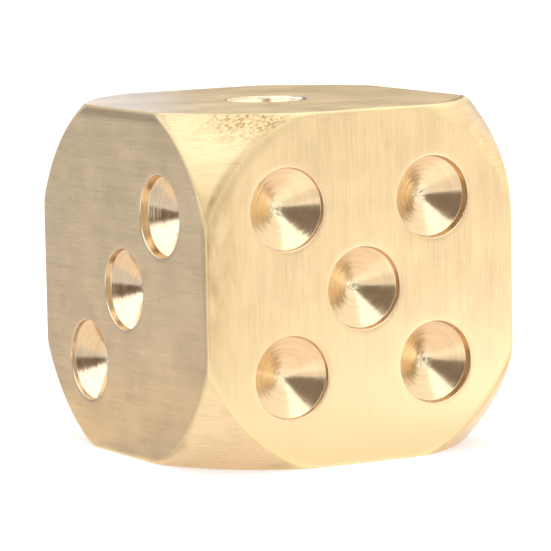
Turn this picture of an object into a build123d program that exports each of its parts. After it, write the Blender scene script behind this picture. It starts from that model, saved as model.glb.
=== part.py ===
from build123d import *
import os

# A six-sided gaming die, machined from one piece of square brass bar.
# The origin is at the centre of the cube. +Z comes out of the face with one pip,
# +X out of the four and +Y out of the two, so that opposite faces add up to seven.

# Driving dimensions, in millimetres
SIDE = 19.05              # three-quarter-inch square bar
BALL_DIAMETER = 28.0      # the sphere that the eight corners are turned to
EDGE_RADIUS = 0.2         # every sharp edge is broken
PIP_DIAMETER = 4.45       # straight part of a drilled pip
PIP_WALL = 0.4            # straight wall between the face and the cone
CONE_DEPTH = 1.14         # from the wall's foot to the point, a blunt drill of about 126 degrees
MOUTH_BREAK = 0.06        # bevel round the pip's mouth
PIP_SPACING = 4.46        # outer pips' distance from the face's centre lines
THREE_SPACING = 4.33      # the same distance on the three
THREE_DROP = 0.34         # how far below the face's centre the three is drilled
SIX_PITCH = 5.1           # along the rows of the six, which leaves a web between its pips

HALF_SIDE = SIDE / 2
PIP_RADIUS = PIP_DIAMETER / 2
PIP_DEPTH = PIP_WALL + CONE_DEPTH
CUTTER_RISE = 1.0         # how far the cutter stands out of the face

# Directions that a face's pips are laid out in: (outward normal, across the face)
FRONT, BACK = (-Axis.Y.direction, Axis.X.direction), (Axis.Y.direction, -Axis.X.direction)
LEFT, RIGHT = (-Axis.X.direction, -Axis.Y.direction), (Axis.X.direction, Axis.Y.direction)
TOP, BOTTOM = (Axis.Z.direction, Axis.X.direction), (-Axis.Z.direction, Axis.X.direction)

CENTRE = [(0, 0)]
RISING = [(-1, -1), (1, 1)]
FALLING = [(-1, 1), (1, -1)]
SIDES = [(-1, 0), (1, 0)]


def blank():
    """The cube with its corners turned to a ball and its edges broken."""
    cube_and_ball = Box(SIDE, SIDE, SIDE) & Sphere(BALL_DIAMETER / 2)
    return fillet(cube_and_ball.edges(), EDGE_RADIUS)


def pip_cutter():
    """The drill, point down, with the face of the die at its Z of 0."""
    bevel_radius = PIP_RADIUS + MOUTH_BREAK + CUTTER_RISE
    outline = Polyline(
        (0, -PIP_DEPTH),
        (PIP_RADIUS, -PIP_WALL),
        (PIP_RADIUS, -MOUTH_BREAK),
        (bevel_radius, CUTTER_RISE),
        (0, CUTTER_RISE),
        close=True,
    )
    half_section = Plane.XZ * make_face(outline)
    return revolve(half_section, Axis.Z)


def pips(face, layout, spacing=PIP_SPACING, pitch=PIP_SPACING, drop=0.0):
    """Cutters on one face: the layout counts steps of spacing across it and of pitch up it."""
    normal, across = face
    plane = Plane(origin=normal * HALF_SIDE, x_dir=across, z_dir=normal)
    places = [(column * spacing, row * pitch - drop) for column, row in layout]
    return [plane * Pos(x, y, 0) * pip_cutter() for x, y in places]


def die():
    cutters = (
        pips(TOP, CENTRE)
        + pips(BACK, RISING)
        + pips(LEFT, CENTRE + RISING, THREE_SPACING, THREE_SPACING, THREE_DROP)
        + pips(RIGHT, RISING + FALLING)
        + pips(FRONT, CENTRE + RISING + FALLING)
        + pips(BOTTOM, RISING + FALLING + SIDES, pitch=SIX_PITCH)
    )
    return blank() - cutters


os.makedirs("parts", exist_ok=True)
export_step(die(), "parts/die_body.step")
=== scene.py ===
import bpy
import math
import random
from mathutils import Matrix, Vector
from mathutils.geometry import delaunay_2d_cdt


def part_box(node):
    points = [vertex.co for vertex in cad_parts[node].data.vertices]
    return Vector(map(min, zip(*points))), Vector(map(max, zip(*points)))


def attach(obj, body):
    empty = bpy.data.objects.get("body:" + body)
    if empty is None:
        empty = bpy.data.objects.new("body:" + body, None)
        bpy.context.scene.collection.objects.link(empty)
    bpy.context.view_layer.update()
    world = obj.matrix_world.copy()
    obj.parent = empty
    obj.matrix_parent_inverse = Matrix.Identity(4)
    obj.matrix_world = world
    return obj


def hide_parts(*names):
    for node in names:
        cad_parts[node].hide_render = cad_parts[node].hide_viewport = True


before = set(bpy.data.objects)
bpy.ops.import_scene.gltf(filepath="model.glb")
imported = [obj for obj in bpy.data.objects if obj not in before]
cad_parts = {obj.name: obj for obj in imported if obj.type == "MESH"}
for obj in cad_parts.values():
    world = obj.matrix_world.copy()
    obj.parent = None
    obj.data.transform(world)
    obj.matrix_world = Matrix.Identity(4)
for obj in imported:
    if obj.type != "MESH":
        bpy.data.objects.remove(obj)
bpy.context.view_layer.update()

MM = 0.001

# The die, in millimetres. Its half side comes from the CAD part.
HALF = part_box("die_body")[1].z / MM
BALL = 14.0                 # radius that the corners are turned to
BALL_CENTRE = Vector((0.06, 0.01, 0.13))
FULL_CORNERS = (((1, -1, 1), 0.2), ((-1, 1, -1), 0.2), ((1, -1, -1), 0.1))      # left a little full
FULL_FOCUS = 5              # how narrow the full place on such a corner is
PIP_RADIUS = 2.225
CONE_DEPTH = 1.14
CONE_BLUNT = 0.3            # share of its slope that a pip's cone loses towards its point
PIP_SPACING = 4.46
THREE_SPACING = 4.33
THREE_DROP = 0.34
SIX_PITCH = 5.1

# Wear. Each width is how wide the rounding of an edge is.
WEAR = 0.14
FRONT_WEAR = 0.5            # round the arcs of the side with five pips, which is rubbed the most
FRONT_EDGE_WEAR = 0.2       # along the straight edges of that side
FRONT_REACH = 1.2           # how far back from that side its rubbing reaches
RUB_FOOT, RUB_RISE, RUB_LEAST = -4.0, 6.0, 0.3      # its rubbing fades to its least share lower down
WORN_EDGES = (((1, -1, 0), 0.25), ((1, 0, 1), 0.4))
EDGE_START, EDGE_BLEND = 0.5, 0.3                   # its wear starts and grows over these shares of HALF
ROLL_REACH, ROLL_DROP = 0.6, 0.11                   # how the three's side rolls off at its top edge

# How finely each stretch is cut. Rings follow a side's rim at the insets in EDGE_INSETS, and a
# corner's at CORNER_INSETS, which are shares of the way to its middle.
ARC_STEPS = 44
EDGE_STEPS = 14
PIP_STEPS = 60
DISH_RINGS, MOUTH_RINGS, FOOT_RINGS, CONE_RINGS = 5, 5, 4, 34
EDGE_INSETS = (0.0, 0.05, 0.1, 0.155, 0.215, 0.285, 0.37, 0.48, 0.65, 0.9)
CORNER_INSETS = (0.0, 0.009, 0.02, 0.034, 0.05, 0.07, 0.095, 0.13, 0.18, 0.25, 0.35, 0.47, 0.6,
                 0.74, 0.88)
WELD = 1e5                  # vertices that agree to one part in this of a millimetre are one


# ---------------------------------------------------------------- camera, lights and floor

TABLE = -HALF * MM                                  # height of the table, in metres
AZIMUTH, ELEVATION, ROLL = -29.45, 6.94, -1.14      # degrees
DISTANCE = 0.2237
AIM_DROP = 0.0003                                   # the lens points this far below the die's centre
SENSOR = 36.0
LENS = 263.4


def add_camera():
    azimuth, elevation, roll = (math.radians(a) for a in (AZIMUTH, ELEVATION, ROLL))
    back = Vector((math.sin(azimuth) * math.cos(elevation),
                   -math.cos(azimuth) * math.cos(elevation),
                   math.sin(elevation)))
    level = Vector((0, 0, 1)).cross(back).normalized()
    upright = back.cross(level)
    right = level * math.cos(roll) + upright * math.sin(roll)
    up = upright * math.cos(roll) - level * math.sin(roll)
    data = bpy.data.cameras.new("camera")
    data.sensor_width = SENSOR
    data.lens = LENS
    data.clip_start = 0.01
    camera = bpy.data.objects.new("camera", data)
    turn = Matrix((right, up, back)).transposed().to_4x4()
    camera.matrix_world = Matrix.Translation(back * DISTANCE - up * AIM_DROP) @ turn
    bpy.context.scene.collection.objects.link(camera)
    bpy.context.scene.camera = camera


def flat_object(name, corners, material):
    mesh = bpy.data.meshes.new(name)
    mesh.from_pydata(corners, [], [range(len(corners))])
    mesh.materials.append(material)
    thing = bpy.data.objects.new(name, mesh)
    bpy.context.scene.collection.objects.link(thing)
    return thing


def glow_material(name, colour):
    material = bpy.data.materials.new(name)
    material.use_nodes = True
    shader = material.node_tree.nodes["Principled BSDF"]
    shader.inputs["Base Color"].default_value = (0, 0, 0, 1)
    shader.inputs["Specular IOR Level"].default_value = 0.0
    shader.inputs["Emission Color"].default_value = (*colour, 1)
    shader.inputs["Emission Strength"].default_value = 1.0
    return material


def around(azimuth, distance, height):
    a = math.radians(azimuth)
    return Vector((math.sin(a) * distance, -math.cos(a) * distance, height))


def standing(distance, foot, head):
    """Corners of an upright card; foot and head each give its two ends as azimuth and height."""
    return [around(a, distance, z) for a, z in (foot[0], foot[1], head[1], head[0])]


def lying(x0, x1, y0, y1):
    """Corners of a sheet on the table, in millimetres."""
    level = 0.1 - HALF
    return [Vector((x, y, level)) * MM for x, y in ((x0, y0), (x1, y0), (x1, y1), (x0, y1))]


def fanned(a0, a1, near, far, height):
    """Corners of a level sheet between two azimuths and two distances."""
    return [around(a, d, height) for a, d in ((a0, near), (a1, near), (a1, far), (a0, far))]


def add_card(name, colour, corners):
    """A studio card round the die, which only its reflections show."""
    card = flat_object(name, corners, glow_material(name, colour))
    card.visible_camera = False
    card.visible_diffuse = False
    card.visible_shadow = False


def add_floor():
    reach = 6.0
    material = bpy.data.materials.new("pale_floor")
    material.use_nodes = True
    shader = material.node_tree.nodes["Principled BSDF"]
    shader.inputs["Base Color"].default_value = (0.54, 0.52, 0.5, 1)
    shader.inputs["Roughness"].default_value = 0.9
    shader.inputs["Specular IOR Level"].default_value = 0.0
    shader.inputs["Emission Color"].default_value = (1, 1, 1, 1)
    shader.inputs["Emission Strength"].default_value = 0.52
    corners = [(x * reach, y * reach, TABLE) for x, y in ((-1, -1), (1, -1), (1, 1), (-1, 1))]
    flat_object("floor", corners, material)


def add_lights():
    world = bpy.data.worlds.new("studio")
    world.use_nodes = True
    world.node_tree.nodes["Background"].inputs["Color"].default_value = (1, 1, 1, 1)
    world.node_tree.nodes["Background"].inputs["Strength"].default_value = 0.72
    bpy.context.scene.world = world
    size, height, radiance = 1.6, 0.45, 0.92
    data = bpy.data.lights.new("overhead_softbox", "AREA")
    data.shape = "SQUARE"
    data.size = size
    data.energy = radiance * math.pi * size * size
    data.color = (0.95, 1.06, 1.12)
    light = bpy.data.objects.new("overhead_softbox", data)
    light.location = (0, 0, height)
    bpy.context.scene.collection.objects.link(light)


def add_cards():
    """Cards that stand or hang round the die."""
    add_card("dark_camera_side", (0.24, 0.2, 0.18),
             standing(0.095, ((-42, TABLE), (3, TABLE)), ((-42, 0.068), (-3, 0.066))))
    add_card("dark_left", (0.15, 0.1, 0.08),
             standing(0.1, ((-124, TABLE), (-87, TABLE)), ((-124, 0.016), (-87, 0.014))))
    add_card("dark_back_left", (0.14, 0.17, 0.22),
             standing(0.3, ((-165, TABLE), (-122, TABLE)), ((-165, 0.064), (-122, 0.055))))
    add_card("dark_back", (0.2, 0.18, 0.17),
             standing(0.3, ((-202, TABLE), (-165, TABLE)), ((-202, 0.15), (-165, 0.15))))
    add_card("bright_left", (1.9, 1.95, 2.1),
             standing(0.32, ((-165, 0.072), (-88, 0.055)), ((-165, 0.13), (-88, 0.2))))
    add_card("dim_back_left", (0.3, 0.34, 0.4),
             standing(0.31, ((-185, 0.14), (-118, 0.14)), ((-185, 0.34), (-118, 0.34))))
    add_card("bright_right", (1.2, 1.15, 1.05),
             standing(0.35, ((12, TABLE), (128, TABLE)), ((12, 0.2), (128, 0.2))))
    add_card("brown_back_right", (0.16, 0.12, 0.1),
             standing(0.1, ((135, TABLE), (155, TABLE)), ((135, 0.065), (155, 0.065))))
    add_card("pale_back", (0.55, 0.75, 1.4),
             standing(0.1, ((155, TABLE), (172, TABLE)), ((155, 0.065), (172, 0.065))))
    add_card("dark_over_back", (0.1, 0.05, 0.02), fanned(139, 161, 0.08, 0.15, 0.3))


def add_sheets():
    """Sheets that lie on the table to the left of the die and in front of it."""
    add_card("dark_left_table", (0.15, 0.1, 0.08), fanned(-124, -87, 0.06, 0.1, TABLE + 0.0002))
    add_card("left_far_sheet", (0.88, 0.94, 1.08), lying(-300, -45, -6, 300))
    add_card("left_near_sheet", (0.77, 0.77, 0.84), lying(-45, -24, -6, 300))
    add_card("left_back_sheet", (0.66, 0.66, 0.74), lying(-24, -9.7, 20, 300))
    add_card("left_foot_sheet", (1.0, 0.9, 0.82), lying(-24, -9.7, 4, 20))
    add_card("left_side_sheet", (0.7, 0.66, 0.68), lying(-24, -9.7, -6, 4))
    add_card("front_far_sheet", (1.75, 1.75, 1.82), lying(12, 50, -50, -18))
    add_card("front_side_sheet", (1.0, 0.93, 0.88), lying(-25, 12, -60, -28))
    add_card("front_middle_sheet", (1.3, 1.24, 1.14), lying(-25, 12, -28, -18))
    add_card("front_foot_sheet", (1.12, 0.97, 0.86), lying(-8, 28, -18, -9.7))


# ---------------------------------------------------------------- the die's surface

def soft_max(first, second, width):
    """The larger of two distances, rounded over where they are within width of each other.

    Each distance is a tuple: its value, its slope, and how far into a rounding the point is.
    """
    (a, slope_a, wear_a), (b, slope_b, wear_b) = sorted((first, second), key=value_of, reverse=True)
    share = max(0.0, 1 - (a - b) / width)
    slope = slope_a * (1 - share / 2) + slope_b * (share / 2)
    return a + share * share * width / 4, slope, max(share, wear_a, wear_b * share)


def value_of(distance):
    return distance[0]


def nearness(point, signs):
    """1 well inside the region where a point is at the sides that signs names, 0 away from it."""
    near = 1.0
    for coordinate, sign in zip(point, signs):
        if sign:
            near *= max(0.0, min(1.0, (coordinate * sign / HALF - EDGE_START) / EDGE_BLEND))
    return near


def side_plane(point, axis):
    """How far a point is outside the nearer of an axis's two sides."""
    sign = math.copysign(1, point[axis])
    slope = Vector((0, 0, 0))
    slope[axis] = sign
    value = abs(point[axis]) - HALF
    if axis == 0 and sign < 0:
        past = max(0.0, 1 - (HALF - point.z) / ROLL_REACH)
        value += ROLL_DROP * past * past
        slope.z = 2 * ROLL_DROP * past / ROLL_REACH
    return value, slope, 0.0


def front_rub(point):
    """How rubbed a point is by the side with five pips: 1 at its upper rim, less below and behind."""
    near = max(0.0, min(1.0, 1 - (HALF + point.y) / FRONT_REACH))
    return near * max(RUB_LEAST, min(1.0, (point.z - RUB_FOOT) / RUB_RISE))


def surface(point):
    """How far a point is outside the worn die, with the slope of that, and how worn it is there."""
    front = front_rub(point)
    arc_width = WEAR + (FRONT_WEAR - WEAR) * front
    width = WEAR + (FRONT_EDGE_WEAR - WEAR) * front
    for signs, wear in WORN_EDGES:
        width += (wear - width) * nearness(point, signs)
    planes = [side_plane(point, axis) for axis in range(3)]
    cube = soft_max(soft_max(planes[0], planes[1], width), planes[2], width)
    from_centre = point - BALL_CENTRE
    ball = BALL
    for corner, rise in FULL_CORNERS:
        alignment = point.normalized().dot(Vector(corner).normalized())
        toward = max(0.0, alignment * FULL_FOCUS - (FULL_FOCUS - 1))
        ball += rise * toward * (2 - toward)
    return soft_max(cube, (from_centre.length - ball, from_centre.normalized(), 0.0), arc_width)


def settle(point):
    """Moves a point of the sharp cube or ball onto the worn surface; returns it, normal and wear."""
    for _ in range(8):
        value, slope, _ = surface(point)
        point = point - slope * (value / slope.length_squared)
    _, slope, wear = surface(point)
    return point, slope.normalized(), wear


FACE, CORNER, WALL, CONE = range(4)                 # the die's four finishes, in order


def unwound(places):
    """Lets angles on both sides of the half turn run on past it."""
    angles = [angle for angle, _ in places]
    if max(angles) - min(angles) < math.pi:
        return places
    return [(angle + 2 * math.pi if angle < 0 else angle, across) for angle, across in places]


class Skin:
    """Gathers the die's vertices, normals, brush lines and faces. Vertices that meet are one."""

    def __init__(self):
        self.points, self.normals, self.wear = [], [], []
        self.faces, self.brush, self.finish = [], [], []
        self.found = {}

    def vertex(self, point, normal, wear=0.0):
        key = tuple(round(c * WELD) for c in point)
        if key not in self.found:
            self.found[key] = len(self.points)
            self.points.append(point)
            self.normals.append(normal)
            self.wear.append(wear)
        return self.found[key]

    def face(self, vertices, brush, finish):
        """brush gives each vertex's place along and across the brush lines, in millimetres."""
        kept = [i for i, v in enumerate(vertices) if vertices.index(v) == i]
        if len(kept) < 3:
            return
        a, b, c = (self.points[vertices[i]] for i in kept[:3])
        outward = sum((self.normals[vertices[i]] for i in kept), Vector())
        if (b - a).cross(c - b).dot(outward) < 0:
            kept.reverse()
        self.faces.append([vertices[i] for i in kept])
        self.brush.append([brush[i] for i in kept])
        self.finish.append(finish)

    def band(self, outer, inner, brush, finish):
        """Faces between two rings, either of which may be a single vertex repeated."""
        for i in range(len(outer)):
            j = (i + 1) % len(outer)
            vertices = [outer[i], outer[j], inner[j], inner[i]]
            places = [brush(v) for v in vertices]
            self.face(vertices, unwound(places) if finish in (WALL, CONE) else places, finish)


class Side:
    """One of the cube's sides: its normal, the direction across it, and where its pips are drilled.

    wander is how far each pip strays from its place, and walls is how deep each pip's wall is.
    seam is the end of across, 1 or -1, where each pip's drilling marks start and end.
    """

    STRAY = 0.06                    # how far a pip may stray where no wander is given
    USUAL_WALLS = (0.3, 0.5)        # and between which depths its wall is

    def __init__(self, normal, across, layout, spacing=PIP_SPACING, pitch=PIP_SPACING, drop=0.0,
                 wander=(), walls=(), brushed_up=False, seam=-1):
        self.normal, self.across = Vector(normal), Vector(across)
        self.up = self.normal.cross(self.across)
        self.brushed_up, self.seam = brushed_up, seam
        chance = random.Random(str(normal))
        self.pips = []
        for i, (column, row) in enumerate(layout):
            dx, dy = wander[i] if wander else self.stray(chance)
            wall = walls[i] if walls else chance.uniform(*self.USUAL_WALLS)
            x, y = column * spacing + dx, row * pitch - drop + dy
            self.pips.append(Pip(self, x, y, wall, chance))

    def stray(self, chance):
        return chance.uniform(-self.STRAY, self.STRAY), chance.uniform(-self.STRAY, self.STRAY)

    def place(self, x, y, z=HALF):
        return self.across * x + self.up * y + self.normal * z

    def spot(self, point):
        return point.dot(self.across), point.dot(self.up)

    def brush(self, point):
        x, y = self.spot(point)
        return (y, x) if self.brushed_up else (x, y)


class Pip:
    """A drilled pip: a dished rim, a rounded mouth, a wall and a grooved cone with a torn point."""

    DISH, DISH_DEPTH, MOUTH, FOOT, DRAFT = 0.3, 0.02, 0.06, 0.05, 0.1
    GROOVES = ((0.42, 0.008), (0.27, 0.012), (0.17, 0.014))     # pitch, slope
    GROOVE_FADE = 0.15
    POINT_SIZE, POINT_RISE, POINT_TILT = 0.36, 0.05, 0.035
    TORN_SIZE, TORN_PITCH, TORN_SLOPE = 0.5, 0.32, 0.13         # the middle that the drill tore

    def __init__(self, side, x, y, wall, chance):
        self.side, self.x, self.y, self.wall = side, x, y, wall
        turns = [chance.uniform(0, 2 * math.pi) for _ in range(15)]
        self.phases = turns[:5]
        self.tears = list(zip(turns[5::2], turns[6::2]))        # direction and phase of each tear
        self.foot_slope = math.atan(CONE_DEPTH / PIP_RADIUS / (1 - CONE_BLUNT / 2))
        self.foot_radius = PIP_RADIUS - self.DRAFT * wall
        self.cone_radius = self.foot_radius - self.FOOT * (1 - math.sin(self.foot_slope))

    def rim(self):
        """Radius and height of each ring from the face to the cone's edge."""
        steps = []
        for i in range(DISH_RINGS):
            t = i / DISH_RINGS
            radius = PIP_RADIUS + self.MOUTH + (self.DISH - self.MOUTH) * (1 - t)
            steps.append((radius, -self.DISH_DEPTH * t * t))
        for i in range(MOUTH_RINGS + 1):
            a = math.pi / 2 * i / MOUTH_RINGS
            steps.append((PIP_RADIUS + self.MOUTH * (1 - math.sin(a)),
                          -self.DISH_DEPTH - self.MOUTH * (1 - math.cos(a))))
        for i in range(FOOT_RINGS):
            a = (math.pi / 2 - self.foot_slope) * i / FOOT_RINGS
            steps.append((self.foot_radius - self.FOOT * (1 - math.cos(a)),
                          -self.wall + self.FOOT * (1 - math.sin(a))))
        return steps

    def cone(self, radius, angle):
        """Height of the cone's surface, with its turned grooves and its torn, tilted middle."""
        t = 1 - radius / self.cone_radius
        depth = CONE_DEPTH * (t - CONE_BLUNT * t * t / 2) / (1 - CONE_BLUNT / 2)
        height = -self.wall + self.FOOT * (1 - math.cos(self.foot_slope)) - depth
        fade = min(1.0, (self.cone_radius - radius) / self.GROOVE_FADE)
        for (pitch, slope), phase in zip(self.GROOVES, self.phases):
            turns = 2 * math.pi * radius / pitch
            height += fade * slope * pitch / (2 * math.pi) * math.sin(turns + phase)
        near = math.exp(-(radius / self.POINT_SIZE) ** 2)
        height += self.POINT_RISE * near
        tilt = math.sin(angle + self.phases[3]) + 0.8 * math.sin(3 * angle + self.phases[4])
        height += self.POINT_TILT * near * tilt * radius / self.POINT_SIZE
        torn = max(0.0, 1 - (radius / self.TORN_SIZE) ** 2)
        wave = self.TORN_SLOPE * self.TORN_PITCH / (2 * math.pi)
        for turn, phase in self.tears:
            place = 2 * math.pi * radius * math.cos(angle - turn) / self.TORN_PITCH
            height += wave * torn * math.sin(place + phase)
        return height

    def cone_normal(self, radius, angle):
        step = 0.004
        inner, outer = max(radius - step, 0.0), radius + step
        along = (self.cone(outer, angle) - self.cone(inner, angle)) / (outer - inner)
        turn = step / max(radius, 0.05)
        ahead, behind = self.cone(radius, angle + turn), self.cone(radius, angle - turn)
        round_it = (ahead - behind) / (2 * step)
        out, on = self.directions(angle)
        return (self.side.normal - out * along - on * round_it).normalized()

    def directions(self, angle):
        out = self.side.across * math.cos(angle) + self.side.up * math.sin(angle)
        return out, self.side.normal.cross(out)

    def ring(self, skin, radius, height_at, normal_at):
        vertices = []
        torn = math.exp(-(radius / self.TORN_SIZE) ** 2)
        for i in range(PIP_STEPS):
            angle = 2 * math.pi * i / PIP_STEPS
            out, _ = self.directions(angle)
            point = self.side.place(self.x, self.y, HALF + height_at(angle)) + out * radius
            vertices.append(skin.vertex(point, normal_at(angle), torn))
        return vertices

    def brush(self, skin, vertex):
        """Drilling marks run round the pip."""
        x, y = self.side.spot(skin.points[vertex])
        dx, dy = x - self.x, y - self.y
        angle = math.atan2(-self.side.seam * dy, -self.side.seam * dx)
        return angle, math.hypot(dx, dy) - skin.points[vertex].dot(self.side.normal)

    def drill(self, skin):
        """Adds the pip's faces; returns its outermost ring."""
        steps = self.rim()
        rings = []
        for i, (radius, height) in enumerate(steps):
            (r0, z0), (r1, z1) = steps[max(i - 1, 0)], steps[min(i + 1, len(steps) - 1)]
            tilt = Vector((z1 - z0, r0 - r1)).normalized() if i else Vector((0, 1))
            rings.append(self.ring(
                skin, radius, lambda a: height,
                lambda a: self.directions(a)[0] * tilt.x + self.side.normal * tilt.y))
        for i in range(CONE_RINGS):
            radius = self.cone_radius * (1 - i / CONE_RINGS)
            rings.append(self.ring(skin, radius, lambda a: self.cone(radius, a),
                                   lambda a: self.cone_normal(radius, a)))
        tip = self.side.place(self.x, self.y, HALF + self.cone(0, 0))
        rings.append([skin.vertex(tip, self.side.normal, 1.0)] * PIP_STEPS)
        for i, (outer, inner) in enumerate(zip(rings, rings[1:])):
            if i < DISH_RINGS:
                skin.band(outer, inner, lambda v: self.side.brush(skin.points[v]), FACE)
            else:
                finish = WALL if i < len(steps) else CONE
                skin.band(outer, inner, lambda v: self.brush(skin, v), finish)
        return rings[0]


CENTRE = [(0, 0)]
RISING = [(-1, -1), (1, 1)]
FALLING = [(-1, 1), (1, -1)]
ROW = [(-1, 0), (1, 0)]

ONE_WANDER = ((-0.2, 0.3),)
ONE_WALLS = (0.17,)
FIVE_WANDER = ((0.067, -0.067), (0, -0.076), (-0.02, 0.095), (-0.12, 0), (0.04, 0.02))
FIVE_WALLS = (0.38, 0.29, 0.5, 0.28, 0.48)
THREE_WANDER = ((0, 0), (0, 0), (0, 0))
THREE_WALLS = (0.4, 0.29, 0.53)

SIDES = [
    Side((0, 0, 1), (1, 0, 0), CENTRE, wander=ONE_WANDER, walls=ONE_WALLS),
    Side((0, 1, 0), (-1, 0, 0), RISING, brushed_up=True),
    Side((-1, 0, 0), (0, -1, 0), CENTRE + RISING, THREE_SPACING, THREE_SPACING, THREE_DROP,
         THREE_WANDER, THREE_WALLS, seam=1),
    Side((1, 0, 0), (0, 1, 0), RISING + FALLING),
    Side((0, -1, 0), (1, 0, 0), CENTRE + RISING + FALLING, wander=FIVE_WANDER, walls=FIVE_WALLS,
         brushed_up=True),
    Side((0, 0, -1), (1, 0, 0), RISING + FALLING + ROW, pitch=SIX_PITCH),
]

CIRCLE = math.sqrt(BALL ** 2 - HALF ** 2)           # radius of the ball's circle on each side
STRAIGHT = math.sqrt(CIRCLE ** 2 - HALF ** 2)       # half the straight part of each edge
ARC_START = math.atan2(STRAIGHT, HALF)
ARC_END = math.pi / 2 - ARC_START


def arc_angle(step):
    return ARC_START + (ARC_END - ARC_START) * step / ARC_STEPS


def outline_angles():
    """Angles round a side, the same on each: along its four straight edges and its four arcs."""
    half = EDGE_STEPS // 2
    quarter = [math.atan2(STRAIGHT * i / half, HALF) for i in range(-half, half)]
    quarter += [arc_angle(i) for i in range(ARC_STEPS)]
    return [a + k * math.pi / 2 for k in range(4) for a in quarter]


def outline(angle, inset):
    reach = max(abs(math.cos(angle)), abs(math.sin(angle)))
    radius = min(CIRCLE - inset, (HALF - inset) / reach)
    return radius * math.cos(angle), radius * math.sin(angle)


def face_side(skin, side):
    """One flat side: its softened rim, its pips and the flat between them."""
    rings = []
    for inset in EDGE_INSETS:
        places = [side.place(*outline(angle, inset)) for angle in outline_angles()]
        rings.append([skin.vertex(*settle(place)) for place in places])
    for outer, inner in zip(rings, rings[1:]):
        skin.band(outer, inner, lambda v: side.brush(skin.points[v]), FACE)
    fill_flat(skin, side, [rings[-1]] + [pip.drill(skin) for pip in side.pips])


def fill_flat(skin, side, loops):
    """The flat between the outermost loop, which comes first, and the pips' loops."""
    vertices = [v for loop in loops for v in loop]
    owners = [i for i, loop in enumerate(loops) for _ in loop]
    flat = [Vector(side.spot(skin.points[v])) for v in vertices]
    edges, start = [], 0
    for loop in loops:
        edges += [(start + i, start + (i + 1) % len(loop)) for i in range(len(loop))]
        start += len(loop)
    _, _, triangles, origins, _, _ = delaunay_2d_cdt(flat, edges, [], 0, 1e-7)
    for triangle in triangles:
        corners = [origins[v][0] for v in triangle]
        around_it = {owners[c] for c in corners}
        inside_pip = len(around_it) == 1 and around_it != {0}
        if not inside_pip:
            picked = [vertices[c] for c in corners]
            skin.face(picked, [side.brush(skin.points[v]) for v in picked], FACE)


def corner_patch(skin, signs):
    """The ball-turned corner in one octant, as rings that close on its middle."""
    middle = Vector(signs).normalized() * BALL
    edge = []
    for fixed in (0, 2, 1):
        for i in range(ARC_STEPS):
            values = [HALF, CIRCLE * math.cos(arc_angle(i)), CIRCLE * math.sin(arc_angle(i))]
            edge.append(Vector([values[(axis - fixed) % 3] * signs[axis] for axis in range(3)]))
    rings = []
    for inset in CORNER_INSETS:
        moved = [p.lerp(middle, inset).normalized() * BALL for p in edge]
        rings.append([skin.vertex(*settle(p)) for p in moved])
    rings.append([skin.vertex(*settle(middle))] * len(edge))
    for outer, inner in zip(rings, rings[1:]):
        skin.band(outer, inner, lambda v: turned_brush(skin.points[v]), CORNER)


def turned_brush(point):
    """Turning lines run level, round the die's upright axis."""
    return math.atan2(point.y, point.x) * BALL, math.asin(max(-1, min(1, point.z / BALL))) * BALL


def build_die():
    skin = Skin()
    for side in SIDES:
        face_side(skin, side)
    for sx in (-1, 1):
        for sy in (-1, 1):
            for sz in (-1, 1):
                corner_patch(skin, (sx, sy, sz))
    mesh = bpy.data.meshes.new("brass_die")
    mesh.from_pydata([p * MM for p in skin.points], [], skin.faces)
    walls, cones = drilled_brass("drilled_walls", WALLS), drilled_brass("drilled_cones", DRILLED)
    for material in (brushed_brass(), turned_brass(), walls, cones):
        mesh.materials.append(material)
    mesh.polygons.foreach_set("material_index", skin.finish)
    mesh.polygons.foreach_set("use_smooth", [True] * len(skin.faces))
    layer = mesh.uv_layers.new(name=BRUSH_MAP)
    layer.data.foreach_set("uv", [c for face in skin.brush for uv in face for c in uv])
    mesh.attributes.new(WEAR_MAP, "FLOAT", "POINT").data.foreach_set("value", skin.wear)
    mesh.normals_split_custom_set_from_vertices(skin.normals)
    die = bpy.data.objects.new("brass_die", mesh)
    bpy.context.scene.collection.objects.link(die)
    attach(die, "root")
    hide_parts("die_body")


# ---------------------------------------------------------------- brass

BRUSH_MAP = "brush"
WEAR_MAP = "wear"
BRASS = (0.84, 0.62, 0.355)
DRILLED = (0.88, 0.68, 0.43)
WALLS = (0.84, 0.68, 0.5)
TORN = (0.95, 0.84, 0.6)            # the pips' torn middles
RUBBED_AND_SHEEN = (0.97, 0.83, 0.5)          # pale cream: a painted highlight along the rounded edges over their real polish, and a painted reflection of the bright floor low on the side with five pips
PEACH_REFLECTION = (0.9, 0.67, 0.42)           # the lower corners: a painted reflection of the floor, paler and pinker towards the bottom
# Brown for real stains, and for painted shade beside the edge between the three and the five.
STAIN_AND_SHADE = (0.5, 0.33, 0.15)
# Brown of the painted dark reflection below the three's top edge.
DARK_REFLECTION = (0.4, 0.27, 0.17)
SPECK = (0.36, 0.2, 0.07)

# Places on the corner between the three and the five, in millimetres
SPOTTED = (-6.4, -8.7, 8.9)         # middle of the brown specks below its top edge
NECK = (-8.9, -9.0, 4.4)            # where it narrows, darkened with painted shade


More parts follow.
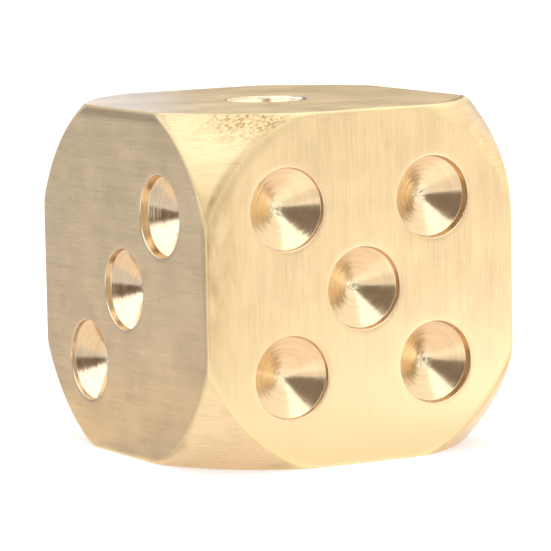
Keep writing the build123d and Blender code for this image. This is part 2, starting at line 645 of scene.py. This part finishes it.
class Finish:
    """A brass material, with short calls for the nodes that vary it."""

    def __init__(self, name, roughness, anisotropic=0.0):
        self.material = bpy.data.materials.new(name)
        self.material.use_nodes = True
        self.nodes = self.material.node_tree.nodes
        self.links = self.material.node_tree.links
        self.shader = self.nodes["Principled BSDF"]
        self.shader.inputs["Metallic"].default_value = 1.0
        self.shader.inputs["Roughness"].default_value = roughness
        self.shader.inputs["Anisotropic Rotation"].default_value = 0.25
        if anisotropic:
            fading = self.maths("SUBTRACT", anisotropic, self.blend((self.worn(), anisotropic)))
            self.links.new(fading, self.shader.inputs["Anisotropic"])
            tangent = self.nodes.new("ShaderNodeTangent")
            tangent.direction_type = "UV_MAP"
            tangent.uv_map = BRUSH_MAP
            self.links.new(tangent.outputs[0], self.shader.inputs["Tangent"])

    def noise(self, vector, detail=2.0, distortion=0.0):
        noise = self.nodes.new("ShaderNodeTexNoise")
        noise.inputs["Scale"].default_value = 1.0
        noise.inputs["Detail"].default_value = detail
        noise.inputs["Distortion"].default_value = distortion
        self.links.new(vector, noise.inputs["Vector"])
        return noise.outputs[0]

    def scaled(self, vector, scale, offset=(0, 0, 0)):
        mapping = self.nodes.new("ShaderNodeMapping")
        mapping.inputs["Scale"].default_value = scale
        mapping.inputs["Location"].default_value = offset
        self.links.new(vector, mapping.inputs["Vector"])
        return mapping.outputs[0]

    def streaks(self, length, width, detail=2.0, offset=0.0):
        """Noise drawn out along the brush lines; length and width in millimetres."""
        uv = self.nodes.new("ShaderNodeUVMap")
        uv.uv_map = BRUSH_MAP
        scale = (1 / length, 1 / width, 1)
        return self.noise(self.scaled(uv.outputs[0], scale, (offset, offset, offset)), detail)

    def clouds(self, size, detail=2.0, offset=(0, 0, 0), stretch=(1, 1, 1)):
        """Noise in the die's own space; size in millimetres."""
        place = self.nodes.new("ShaderNodeTexCoord")
        scale = tuple(1 / (size * MM * s) for s in stretch)
        return self.noise(self.scaled(place.outputs["Object"], scale, offset), detail, 0.4)

    def maths(self, operation, a, b):
        node = self.nodes.new("ShaderNodeMath")
        node.operation = operation
        for socket, value in zip(node.inputs, (a, b)):
            if isinstance(value, (int, float)):
                socket.default_value = value
            else:
                self.links.new(value, socket)
        return node.outputs[0]

    def times(self, a, b):
        return self.maths("MULTIPLY", a, b)

    def most(self, *values):
        """The largest of several values."""
        largest = values[0]
        for value in values[1:]:
            largest = self.maths("MAXIMUM", largest, value)
        return largest

    def blend(self, *parts):
        """Adds up sources, each with its share."""
        total = 0.0
        for source, share in parts:
            total = self.maths("ADD", self.times(source, share), total)
        return total

    def ramp(self, value, *stops):
        node = self.nodes.new("ShaderNodeValToRGB")
        elements = node.color_ramp.elements
        while len(elements) < len(stops):
            elements.new(0.5)
        for element, (position, colour) in zip(elements, stops):
            element.position = position
            element.color = (*colour, 1)
        self.links.new(value, node.inputs[0])
        return node.outputs["Color"]

    def near(self, centre, reach):
        """1 at a place on the die, falling to 0 at reach from it, in millimetres."""
        place = self.nodes.new("ShaderNodeTexCoord")
        gap = self.nodes.new("ShaderNodeVectorMath")
        gap.operation = "DISTANCE"
        gap.inputs[1].default_value = [c * MM for c in centre]
        self.links.new(place.outputs["Object"], gap.inputs[0])
        return self.mask(gap.outputs["Value"], reach * MM, 0.3 * reach * MM)

    def along(self, axis, start, end):
        """0 up to start and 1 from end on, in millimetres along one of the die's axes."""
        place = self.nodes.new("ShaderNodeTexCoord")
        split = self.nodes.new("ShaderNodeSeparateXYZ")
        self.links.new(place.outputs["Object"], split.inputs[0])
        return self.mask(split.outputs[axis], start * MM, end * MM)

    def worn(self):
        """How rubbed the metal is: 1 in the middle of a rounded edge, 0 away from it.

        In a pip, it is how near the torn middle is. On the sides and corners it also places a painted
        highlight along the rounded edges.
        """
        wear = self.nodes.new("ShaderNodeAttribute")
        wear.attribute_name = WEAR_MAP
        return wear.outputs["Fac"]

    def smudges(self):
        """Soft brown painted shade, in cloudy patches, beside the edge between the three and the five.
        """
        soft = self.mask(self.clouds(0.9, 4.0, (5, 1, 4), (1, 1, 2)), 0.3, 0.62)
        beside = self.times(self.along("X", -7.2, -9.0), self.along("Y", -8.9, -9.3))
        span = self.times(self.along("Z", 8.0, 6.0), self.along("Z", -6.0, 2.0))
        return self.times(self.times(soft, self.times(beside, span)), 0.7)

    def mask(self, value, low, high):
        """0 where value is low, rising to 1 where it is high."""
        node = self.nodes.new("ShaderNodeMapRange")
        node.inputs["From Min"].default_value = low
        node.inputs["From Max"].default_value = high
        self.links.new(value, node.inputs["Value"])
        return node.outputs[0]

    def mix(self, share, first, second):
        node = self.nodes.new("ShaderNodeMix")
        node.data_type = "RGBA"
        self.links.new(share, node.inputs[0])
        self.links.new(first, node.inputs[6])
        node.inputs[7].default_value = (*second, 1)
        return node.outputs[2]

    def colour(self, socket):
        self.links.new(socket, self.shader.inputs["Base Color"])

    def roughness(self, value, low, high, rubbed=0.0):
        """Follows value from low to high; rubbed is added in the middle of the rounded edges."""
        node = self.nodes.new("ShaderNodeMapRange")
        node.inputs["From Min"].default_value = 0.25
        node.inputs["From Max"].default_value = 0.75
        node.inputs["To Min"].default_value = low
        node.inputs["To Max"].default_value = high
        self.links.new(value, node.inputs["Value"])
        total = self.blend((node.outputs[0], 1.0), (self.worn(), rubbed))
        self.links.new(total, self.shader.inputs["Roughness"])

    def bump(self, height, depth):
        """depth is the height of the marks, in millimetres."""
        node = self.nodes.new("ShaderNodeBump")
        node.inputs["Strength"].default_value = 1.0
        node.inputs["Distance"].default_value = depth * MM
        self.links.new(height, node.inputs["Height"])
        self.links.new(node.outputs[0], self.shader.inputs["Normal"])


def tinted(factor, brass=BRASS):
    return tuple(min(1.0, c * factor) for c in brass)


def brushed_brass():
    """The ground sides: fine straight scratches, faint broad streaks and stained patches; painted shade
    beside the edge between the three and the five, a painted dark reflection below the three's top edge,
    and paler painted highlight and reflection.
    """
    brass = Finish("brushed_brass", 0.36, 0.55)
    hair = brass.streaks(3.2, 0.075, 3.0)
    fine = brass.streaks(1.2, 0.05, 2.0, 7.3)
    broad = brass.streaks(7.0, 0.6, 2.0, 3.1)
    cloud = brass.clouds(3.0)
    tone = brass.blend((hair, 0.24), (fine, 0.22), (broad, 0.22), (cloud, 0.32))
    colour = brass.ramp(tone, (0.3, tinted(0.74)), (0.7, tinted(1.22)))
    patches = brass.times(brass.mask(brass.clouds(1.6, 3.0, (4, 1, 2)), 0.62, 0.8), 0.3)
    # Stained patches, and painted shade beside the edge between the three and the five.
    colour = brass.mix(brass.most(patches, brass.smudges()), colour, STAIN_AND_SHADE)
    # A dark brown band painted below the three's top edge: a painted dark reflection.
    under_edge = brass.times(brass.along("X", -9.2, -9.4), brass.along("Z", 8.75, 9.35))
    dark_reflection = brass.times(under_edge, brass.blend((broad, 0.9), (cloud, 0.5)))
    colour = brass.mix(dark_reflection, colour, DARK_REFLECTION)
    # The lower part of the side with five pips is painted paler: a painted reflection of the bright
    # floor.
    low_front_reflection = brass.times(brass.along("Y", -9.2, -9.4), brass.along("Z", -1.0, -9.0))
    # Paler cream along the rounded edges: a painted highlight over their real polish.
    brass.colour(brass.mix(brass.blend((brass.worn(), 0.5), (low_front_reflection, 0.75)), colour, RUBBED_AND_SHEEN))
    brass.roughness(tone, 0.3, 0.44, 0.3)
    brass.bump(brass.blend((hair, 0.6), (fine, 0.4)), 0.006)
    return brass.material


def turned_brass():
    """The ball-turned corners: coarser level lines, with brown stains in patches and flecks; painted
    shade where one narrows by the edge between the three and the five, a painted highlight along the
    rounded edges, and a painted peach reflection of the floor towards the bottom.
    """
    brass = Finish("turned_brass", 0.32, 0.5)
    line = brass.streaks(4.0, 0.1, 3.0)
    fine = brass.streaks(1.0, 0.05, 2.0, 5.7)
    broad = brass.streaks(3.0, 0.5, 2.0, 1.9)
    tone = brass.blend((line, 0.35), (fine, 0.25), (broad, 0.4))
    colour = brass.ramp(tone, (0.32, tinted(0.8)), (0.68, tinted(1.15)))
    # Towards the bottom the corners blend to peach: a painted reflection of the floor below them.
    colour = brass.mix(brass.times(brass.along("Z", -2.0, -7.0), 0.6), colour, PEACH_REFLECTION)
    # Paler cream along the rounded edges: a painted highlight over their real polish.
    colour = brass.mix(brass.times(brass.worn(), 0.5), colour, RUBBED_AND_SHEEN)
    scratch = brass.mask(brass.streaks(2.2, 0.06, 3.0, 4.9), 0.56, 0.66)
    cloud = brass.clouds(2.0, 3.0, (1, 5, 2))
    smudge = brass.mask(brass.blend((cloud, 0.7), (broad, 0.3)), 0.5, 0.66)
    fleck = brass.mask(brass.streaks(0.35, 0.12, 2.0, 9.1), 0.6, 0.7)
    marks = brass.times(brass.most(scratch, smudge, fleck), 0.32)
    under_edge = brass.times(brass.near(SPOTTED, 3.2), brass.along("Z", 7.9, 9.1))
    # Painted shade where the corner narrows by the edge between the three and the five, and a brown
    # stain below its top edge.
    shade_and_stain = brass.blend((brass.near(NECK, 3.6), 0.42), (under_edge, 0.3))
    colour = brass.mix(brass.most(marks, shade_and_stain, brass.smudges()), colour, STAIN_AND_SHADE)
    spots = brass.mask(brass.clouds(0.15, 5.0, (3, 3, 7), (1.5, 1.5, 1)), 0.46, 0.62)
    brass.colour(brass.mix(brass.times(brass.times(spots, under_edge), 0.9), colour, SPECK))
    brass.roughness(tone, 0.28, 0.4, 0.3)
    brass.bump(brass.blend((line, 0.7), (fine, 0.3)), 0.006)
    return brass.material


def drilled_brass(name, base):
    """The pips: bright turned rings left by the drill."""
    brass = Finish(name, 0.17)
    ring = brass.streaks(0.8, 0.16, 2.0)
    fine = brass.streaks(2.5, 0.07, 2.0, 6.2)
    coarse = brass.streaks(4.0, 0.3, 2.0, 4.4)
    cloud = brass.clouds(0.6, 3.0)
    tone = brass.blend((ring, 0.3), (fine, 0.35), (coarse, 0.2), (cloud, 0.15))
    colour = brass.ramp(tone, (0.3, tinted(0.85, base)), (0.7, tinted(1.1, base)))
    brass.colour(brass.mix(brass.worn(), colour, TORN))
    brass.roughness(cloud, 0.15, 0.22, 0.2)
    brass.bump(brass.blend((ring, 0.55), (fine, 0.3), (coarse, 0.2)), 0.013)
    return brass.material


bpy.context.scene.view_settings.view_transform = "Standard"
add_camera()
add_floor()
add_lights()
add_cards()
add_sheets()
build_die()
